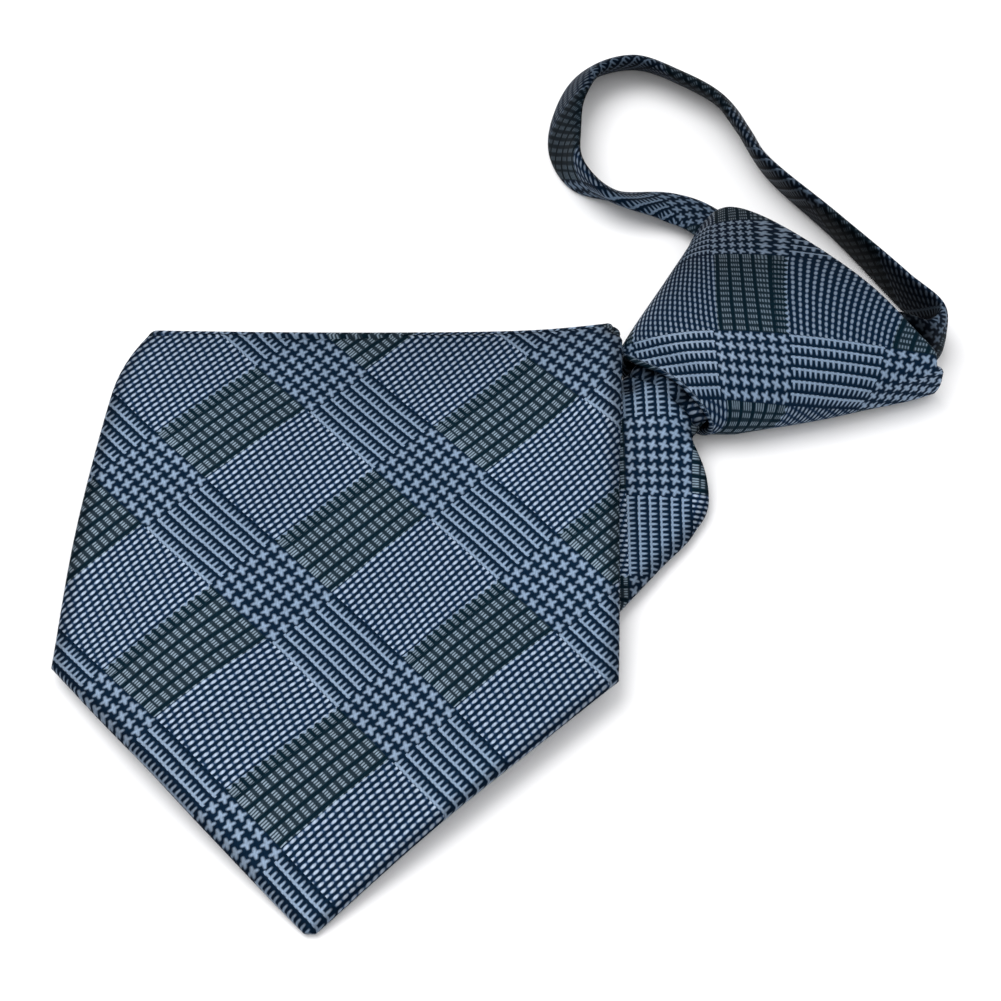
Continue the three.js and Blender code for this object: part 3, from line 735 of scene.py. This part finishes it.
def stripArea():
    # flat area of the strip, from its width at many stations
    stations = np.linspace(-blade["tuckLength"], tipStation, 400)
    widths = halfWidth(stations, True) + halfWidth(stations, False)
    return float(np.sum((widths[1:] + widths[:-1]) / 2 * np.diff(stations)))


bladeCloth = plaidMaterial("blade_plaid")
bladeObject = bladePiece()
bladeArea = stripArea()
bladeLength = tipStation + blade["tuckLength"]
bladeObject.data.materials.append(bladeCloth)
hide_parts("front_blade")
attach(bladeObject, "root")
bladeLength * millimetre
print("blade made,", len(bladeObject.data.polygons), "faces")


# Knot: a sleeve of sections, with a rolled rim at both ends. near and far are swellings of the two sides, as
# shares of the narrow width, and square is the power of the lower half's section.

knotRows = [
    {"at": 0.00, "height": 0.00, "near": -0.020, "far": 0.045, "square": 2.2},
    {"at": 0.15, "height": 0.45, "near": -0.010, "far": 0.040, "square": 2.5},
    {"at": 0.40, "height": 0.85, "near": 0.015, "far": 0.030, "square": 3.1},
    {"at": 0.70, "height": 1.00, "near": 0.040, "far": 0.025, "square": 3.8},
    {"at": 0.90, "height": 1.00, "near": 0.045, "far": 0.010, "square": 4.6},
    {"at": 1.00, "height": 0.90, "near": 0.035, "far": 0.000, "square": 5.0},
]


def knotPlan(q, side):
    # q along the axis as a share, side across it along the rim's direction
    axis = direction(knot["heading"])
    turn = np.radians(mix(knot["narrowTurn"], knot["wideTurn"], q))
    x = knot["place"][0] + axis[0] * knot["length"] * q + np.cos(turn) * side
    y = knot["place"][1] + axis[1] * knot["length"] * q + np.sin(turn) * side
    return x, y


def knotPoints(q, angle, inset, drop):
    # Superellipse section at each station, flattened underneath, with the cuts and the exit in the wide rim.
    # inset is the depth inside the outer face, and drop lowers the crown and draws the near side in.
    share = np.clip(q, 0, 1)
    c, s = np.cos(angle), np.sin(angle)
    near = c > 0
    swell = np.where(near, readTable(knotRows, "near", share), readTable(knotRows, "far", share))
    half = mix(knot["narrowWidth"], knot["wideWidth"], share) / 2 + swell * knot["narrowWidth"] - inset
    half = half - drop * smooth((c + 0.1) / 0.5)
    crown = mix(knot["narrowHeight"], knot["wideHeight"], readTable(knotRows, "height", share)) - inset - drop
    middle = knot["narrowHeight"] / 2 + knot["waistRise"] * share
    crownPower = np.where(near, knot["crownNear"], knot["crownFar"])
    power = 2 / np.where(s > 0, crownPower, readTable(knotRows, "square", share))
    below = middle + knot["underside"] - inset
    z = middle + np.where(s > 0, crown - middle, below) * signedPower(s, power)
    front = smooth((c + 0.75) / 0.9) * (1 - smooth(q / knot["drawnReach"]))
    q = q + knot["drawnBack"] / knot["length"] * front
    cut = sum(row["depth"] * bump(angle - row["angle"], row["width"]) for row in knot["cuts"])
    fromExit = angle - knot["exitAngle"]
    fromExit = np.where(fromExit > math.pi, fromExit - 2 * math.pi, fromExit)
    cut = cut + knot["exitDepth"] * bump(fromExit, np.where(fromExit < 0, *knot["exitWidths"]))
    x, y = knotPlan(q - cut * smooth((q - 0.6) / 0.4) / knot["length"], half * signedPower(c, power))
    return np.stack([x, y, np.maximum(z, inset)], -1)


def knotMap(points, crownAt):
    # The sleeve unrolled as a fan from a point before the narrow end: the length round each section from its
    # crown is swung round that point, at the length along the crown.
    steps = norm(np.diff(closeRing(points), axis=1), axis=-1)
    length = np.concatenate([np.zeros((len(points), 1)), np.cumsum(steps, 1)], 1)
    run = runLengths(points[:, crownAt])
    reach = knot["fan"] + run[:, None]
    swung = (length[:, crownAt:crownAt + 1] - length) / reach
    axis = direction(knot["heading"])
    sideways = reach * np.sin(swung)
    forwards = reach * np.cos(swung)
    east = sideways * axis[1] + forwards * axis[0]
    north = forwards * axis[1] - sideways * axis[0]
    cross = (knot["blockEast"] - east) * knot["tightU"] / plaid["repeatU"]
    along = (knot["blockNorth"] - north) / plaid["repeatV"]
    along = along * (knot["tightV"] + knot["easeV"] * along)
    along = along + knot["slantV"] * cross + knot["shiftV"]
    cross = cross + knot["skewU"] * along * np.minimum(0, cross - knot["skewFrom"])
    uv = np.stack([cross, along], -1)
    return np.concatenate([uv, uv[:1]], 0), length[:, -1], run


def knotPiece():
    # Rows go from the narrow rim along the outside to the wide rim and back along the inside, with half a
    # circle round each rim
    angle = np.linspace(-math.pi / 2, 1.5 * math.pi, knot["around"] + 1)[:-1]
    angle = np.where(angle > math.pi, angle - 2 * math.pi, angle)
    outside = np.linspace(0, 1, knot["rows"])
    level = np.zeros(len(outside))
    rimTurn = np.linspace(0, math.pi, knot["rimRows"] + 2)[1:-1]
    wideRim = knot["wall"] / 2 / knot["length"]
    narrowRim = (knot["wall"] - knot["lip"]) / 2 / knot["length"]
    q = np.concatenate([outside, 1 + np.sin(rimTurn) * wideRim, outside[::-1], -np.sin(rimTurn) * narrowRim])
    turnedIn = (1 - np.cos(rimTurn)) / 2
    inset = knot["wall"] * np.concatenate([level, turnedIn, level + 1, 1 - turnedIn])
    lowered = 1 - smooth(outside / knot["lipLength"])
    drop = knot["lip"] * np.concatenate([lowered, 0 * rimTurn, level, turnedIn])
    points = knotPoints(q[:, None], angle[None, :], inset[:, None], drop[:, None])
    uv, girths, crownRun = knotMap(points, int(np.argmin(np.abs(angle - math.pi / 2))))
    size = (float(girths[len(outside) // 2]), float(crownRun[len(outside) - 1]))
    # painted highlight at the front, painted shade towards the back and on the inner wall
    back = smooth((points[..., 1] - knot["shadeFrom"]) / knot["shadeReach"])
    inner = knot["innerShade"] * inset[:, None] / knot["wall"]
    shade = (knot["frontShade"] - knot["topShade"] * back) * (1 - inner)
    return placeMesh("knot_cloth", points, uv, shade, closeRows=True), size


# a copy of the plaid darkened by painted shade, its ovals and ticks most
knotCloth = plaidMaterial("knot_plaid_painted_shade", shade=0.78, ovals=0.55, groups=0.55)
knotObject, knotSize = knotPiece()
knotObject.data.materials.append(knotCloth)
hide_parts("knot")
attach(knotObject, "root")
print("knot made,", len(knotObject.data.polygons), "faces")


# Neck band: a flat tube of cloth, one whole loop from inside the knot round and back into it. x and y are
# shares of the loop's spread and rise, from the line between its two exits, and lean is in degrees.

band = {
    "width": 9.0, "thickness": 2.3, "flatWidth": 10.0, "loopSpread": 37.8, "loopRise": 56.5,
    "leftExit": {"side": -0.82, "lean": -74.0}, "rightExit": {"side": 0.76, "lean": 18.0},
    "around": 44, "rows": 620,
    "innerShade": 0.8, "innerFrom": -0.1, "innerReach": 0.5,  # painted shade on the loop's inner face
    # painted shade where the band leans in
    "outerShade": 0.55, "outerLean": 20.0,
    "pocketShade": 0.85, "pocketEnd": 43.0, "pocketFade": 3.5,  # painted shadow on its end in the knot
    "cell": (-0.114, 0.315),  # place in the plaid where the band leaves the knot
}
bandRows = [
    {"x": -0.135, "y": 0.132, "lean": -74}, {"x": -0.333, "y": 0.211, "lean": -72},
    {"x": -0.642, "y": 0.262, "lean": -42}, {"x": -0.853, "y": 0.369, "lean": 0},
    {"x": -0.966, "y": 0.546, "lean": 33}, {"x": -1.000, "y": 0.740, "lean": 36},
    {"x": -0.949, "y": 0.919, "lean": 38}, {"x": -0.798, "y": 1.000, "lean": 38},
    {"x": -0.632, "y": 0.957, "lean": 38}, {"x": -0.521, "y": 0.890, "lean": 34},
    {"x": -0.483, "y": 0.789, "lean": 27}, {"x": -0.448, "y": 0.667, "lean": 23},
    {"x": -0.220, "y": 0.446, "lean": 16}, {"x": 0.003, "y": 0.211, "lean": 2},
    {"x": 0.087, "y": 0.100, "lean": 0},
]
leftEnd = [{"q": 0.45, "side": -0.28, "lean": -60}, {"q": 0.68, "side": -0.40, "lean": -68},
           {"q": 0.88, "side": -0.56, "lean": -72}]
rightEnd = [{"q": 1.00, "side": 0.55, "lean": 15}, {"q": 0.80, "side": 0.43, "lean": 0},
            {"q": 0.45, "side": 0.27, "lean": 0}]


def bandStations():
    # x, y, lean and height of the lower edge, from one end inside the knot to the other
    floorHeight = knot["wall"] + blade["clearance"]
    wide = knot["wideWidth"] / 2
    before = 1 + (0.5 * knot["wall"] + 0.5 * band["thickness"] + blade["clearance"]) / knot["length"]
    leftExit, rightExit = band["leftExit"], band["rightExit"]
    left = np.array(knotPlan(1.0, leftExit["side"] * wide))
    right = np.array(knotPlan(before, rightExit["side"] * wide))

    def inside(row):
        half = mix(knot["narrowWidth"], knot["wideWidth"], row["q"]) / 2
        return (*knotPlan(row["q"], row["side"] * half), row["lean"], floorHeight)

    stations = [inside(row) for row in leftEnd]
    stations.append((*left, leftExit["lean"], 0.7 * knot["wall"]))
    for i, row in enumerate(bandRows):
        onLine = mix(left, right, i / (len(bandRows) - 1))
        stations.append((onLine[0] + row["x"] * band["loopSpread"], onLine[1] + row["y"] * band["loopRise"],
                         row["lean"], 0.0))
    stations.append((*right, rightExit["lean"], floorHeight))
    stations += [inside(row) for row in rightEnd]
    return np.array(stations, float)


def smoothCurve(points, count):
    # centripetal curve through the points: its steps go by the square root of each chord
    chords = norm(np.diff(points[:, :2], axis=0), axis=1)
    steps = np.concatenate([[0], np.cumsum(np.sqrt(chords))])
    where = np.linspace(0, steps[-1], count)
    columns = [[{"at": step, "value": value} for step, value in zip(steps, column)] for column in points.T]
    return np.stack([readTable(rows, "value", where) for rows in columns], -1)


def bandPiece():
    # A flat superellipse, leaning by its own angle, carried along the curve with its lowest point on its foot
    line = smoothCurve(bandStations(), band["rows"])
    level = np.zeros(len(line))
    lean = np.radians(line[:, 2])[:, None]
    foot = np.maximum(0, line[:, 3])
    head = np.gradient(line[:, :2], axis=0)
    head /= norm(head, axis=1, keepdims=True)
    inward = np.column_stack([head[:, 1], -head[:, 0], level])
    up = np.array([0, 0, 1.0]) * np.cos(lean) + inward * np.sin(lean)
    out = surfaceNormal(np.column_stack([head, level]), up)
    angle = np.linspace(-math.pi / 2, 1.5 * math.pi, band["around"] + 1)[:-1]
    tall = band["width"] / 2 * signedPower(np.sin(angle), 0.75)
    thick = band["thickness"] / 2 * signedPower(np.cos(angle), 0.9)
    points = np.column_stack([line[:, :2], level])[:, None] + up[:, None] * tall[None, :, None]
    points = points + out[:, None] * thick[None, :, None]
    points[..., 2] += (foot - points[..., 2].min(1))[:, None]
    run = runLengths(points.mean(1))[:, None]
    ring = np.column_stack([tall, thick])
    girth = runLengths(np.vstack([ring, ring[:1]]))[None, :]
    cross = band["cell"][0] - (girth + run) / math.sqrt(2) / plaid["repeatU"]
    along = band["cell"][1] - (girth - run) / math.sqrt(2) / plaid["repeatV"]
    # painted shade on the loop's inner face and where it leans in, painted shadow where it enters the knot
    facing = np.sign((out * inward).sum(1))[:, None] * np.cos(angle)[None, :]
    inner = smooth((facing - band["innerFrom"]) / band["innerReach"]) * np.cos(lean) ** 4
    shade = 1 - band["innerShade"] * inner
    shade = shade * mix(1.0, band["outerShade"], smooth(lean / math.radians(band["outerLean"])))
    fromKnot = points[..., :2] - knotPlace
    entering = smooth((band["pocketEnd"] - fromKnot @ direction(knot["heading"])) / band["pocketFade"])
    atRight = fromKnot @ direction(knot["wideTurn"]) > 0
    shade = shade * (1 - band["pocketShade"] * entering * atRight)
    uv = np.stack([cross, along], -1)
    return placeMesh("band_cloth", points, uv, shade, capStart=True, capEnd=True), float(run[-1, 0])


# a copy of the plaid darkened by painted shade, with little coat
bandCloth = plaidMaterial("band_plaid_painted_shade", shade=0.48, ovals=0.7, groups=0.7, gloss=0.08)
bandObject, bandLength = bandPiece()
bandObject.data.materials.append(bandCloth)
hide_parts("neck_band")
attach(bandObject, "root")
print("band made,", len(bandObject.data.polygons), "faces")


# Zipper tail: two tapes with the closed coil between them, and the slider inside the knot

zipper = {
    "width": 10.0, "tape": 0.9, "coilWidth": 3.2, "thickness": 1.3, "length": 50.0, "fall": 9.0,
    "sliderWidth": 8.0, "sliderLength": 6.0, "sliderHeight": 2.9, "sliderInset": 1.5,
    "sliderEnds": 0.5, "sliderSides": 0.6,  # rounding
    "coilPitch": 1.2, "coilDepth": 0.25,  # of the coil's turns
    "gutter": 0.2, "gutterPlace": 0.6, "gutterWidth": 0.4,  # dip of the tape beside the coil
    "rowPitch": 0.2, "columns": 45, "edgePower": 12,
    "ribs": 2.2, "slant": 1.3, "cords": 2.6,  # for each millimetre of tape
    "dark": rgb(14, 21, 38), "light": rgb(40, 53, 80), "roughTape": 0.7, "roughCoil": 0.35,
}


def zipperPiece():
    # Flat below. Above, the tape is level, the coil a low arch with a dip at each turn, and the slider a
    # block with rounded sides.
    start, end = -blade["tuckLength"], zipper["length"]
    s = np.linspace(start, end, int((end - start) / zipper["rowPitch"]) + 1)[:, None]
    wide = zipper["width"] / 2
    across = wide * np.sin(np.linspace(-1, 1, zipper["columns"]) * math.pi / 2)[None, :]
    arch = np.sqrt(np.maximum(0, 1 - (across / (zipper["coilWidth"] / 2)) ** 2))
    turn = 0.5 + 0.5 * np.cos(2 * math.pi * (s / zipper["coilPitch"] + 0.25 * np.sign(across)))
    fromGutter = np.abs(across) - zipper["gutterPlace"] * zipper["coilWidth"]
    gutter = zipper["gutter"] * bump(fromGutter, zipper["gutterWidth"])
    coil = (zipper["thickness"] - zipper["tape"] - zipper["coilDepth"] * turn) * arch
    edge = np.sqrt(np.maximum(0.02, 1 - (np.abs(across) / wide) ** zipper["edgePower"]))
    top = (zipper["tape"] + coil - gutter) * edge
    middle = start + zipper["sliderInset"] + zipper["sliderLength"] / 2
    pastEnd = (np.abs(s - middle) - zipper["sliderLength"] / 2) / zipper["sliderEnds"]
    pastSide = (np.abs(across) - zipper["sliderWidth"] / 2) / zipper["sliderSides"]
    body = (1 - smooth(pastEnd + 1)) * (1 - smooth(pastSide + 1))
    top = mix(top, zipper["sliderHeight"], body)
    begin = 0.5 * knot["wall"] + blade["clearance"]
    lift = (knot["wall"] + 1.5 * blade["clearance"]) * (1 - smooth((s - begin) / zipper["fall"]))
    below = across[:, ::-1][:, 1:-1]
    x = np.broadcast_to(np.concatenate([across, below], 1), (len(s), across.size + below.size))
    z = np.concatenate([top + lift, np.broadcast_to(lift, (len(s), below.size))], 1)
    plan = knotPlace + s[..., None] * runs[0]["head"] + x[..., None] * runs[0]["side"]
    points = np.concatenate([plan, z[..., None]], -1)
    uv = np.stack([x, np.broadcast_to(s, x.shape)], -1)
    return placeMesh("zipper_tape", points, closeRing(uv), 1.0, capStart=True, capEnd=True)


def tapeMaterial():
    # Herringbone of the tape in millimetres of its own map, and the coil's smoother turns
    material, tree, uv, x, y = newMaterial("zipper_tape_finish")
    half = zipper["coilWidth"] / 2
    coil = 1 - abs(x).ramp(half - 0.05, half + 0.05)
    ribs = abs((y * zipper["ribs"] + abs(x) * zipper["slant"]).fract() - 0.5) * 2
    cords = abs((x * zipper["cords"]).fract() - 0.5) * 2
    turns = abs((y / zipper["coilPitch"]).fract() - 0.5) * 2
    weave = coil.choose(turns, ribs * 0.6 + cords * 0.4)
    colour = blend(tree, weave, zipper["dark"], zipper["light"])
    relief = makeNode(tree, "ShaderNodeBump", None, {"Strength": 0.5, "Distance": 0.0001, "Height": weave})
    rough = zipper["roughTape"] - coil * (zipper["roughTape"] - zipper["roughCoil"])
    shader = makeNode(tree, "ShaderNodeBsdfPrincipled", None,
                      {"Base Color": colour, "Roughness": rough, "Normal": relief})
    makeNode(tree, "ShaderNodeOutputMaterial", None, {"Surface": shader})
    return material


zipperObject = zipperPiece()
zipperObject.data.materials.append(tapeMaterial())
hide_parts("zipper")
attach(zipperObject, "root")
zipperLength = zipper["length"] + blade["tuckLength"]
zipper["width"] * millimetre
zipperLength * millimetre
print("zipper made,", len(zipperObject.data.polygons), "faces")


# Camera, floor and light, with the focal length and the image's width in pixels

view = {"elevation": 52.0, "distance": 461.5, "focal": 2900.0, "image": 1001.0, "sensor": 36.0, "near": 0.01}
stage = {
    "floor": 3.0, "floorColour": (0.86, 0.86, 0.87, 1.0), "floorRough": 0.9, "worldLevel": 1.0,
    "key": {"power": 9.0, "size": 0.9, "place": (-0.42, 0.14, 1.1)},
    "fill": {"power": 2.0, "size": 1.4, "place": (0.3, -0.9, 0.9)},
}

cameraData = bpy.data.cameras.new("camera")
cameraData.sensor_width = view["sensor"]
cameraData.lens = view["focal"] / view["image"] * view["sensor"]
cameraData.clip_start = view["near"]
camera = bpy.data.objects.new("camera", cameraData)
tilt = math.radians(view["elevation"])
camera.location = layOrigin + np.array([0, -math.cos(tilt), math.sin(tilt)]) * view["distance"] * millimetre
camera.rotation_euler = (math.pi / 2 - tilt, 0, 0)
addToScene(camera)
bpy.context.scene.camera = camera

floorMesh = bpy.data.meshes.new("floor")
reach = stage["floor"] / 2
floorCorners = [(-reach, -reach, 0), (reach, -reach, 0), (reach, reach, 0), (-reach, reach, 0)]
floorMesh.from_pydata(floorCorners, [], [(0, 1, 2, 3)])
floor = bpy.data.objects.new("floor", floorMesh)
floorMaterial = bpy.data.materials.new("floor_white")
floorMaterial.use_nodes = True
floorShader = floorMaterial.node_tree.nodes["Principled BSDF"]
floorShader.inputs["Base Color"].default_value = stage["floorColour"]
floorShader.inputs["Roughness"].default_value = stage["floorRough"]
floorMesh.materials.append(floorMaterial)
addToScene(floor)


def softLight(name, power, size, place):
    # square area light at a place, turned towards the origin
    data = bpy.data.lights.new(name, "AREA")
    data.energy = power
    data.size = size
    light = bpy.data.objects.new(name, data)
    light.location = place
    x, y, z = place
    light.rotation_euler = (math.atan2(math.hypot(x, y), z), 0, math.atan2(y, x) + math.pi / 2)
    addToScene(light)


softLight("key", **stage["key"])
softLight("fill", **stage["fill"])

world = bpy.data.worlds.new("studio")
world.use_nodes = True
background = world.node_tree.nodes["Background"].inputs
background["Color"].default_value = (1.0, 1.0, 1.0, 1.0)
background["Strength"].default_value = stage["worldLevel"]
bpy.context.scene.world = world
bpy.context.scene.view_settings.view_transform = "Standard"
print("camera and light set")
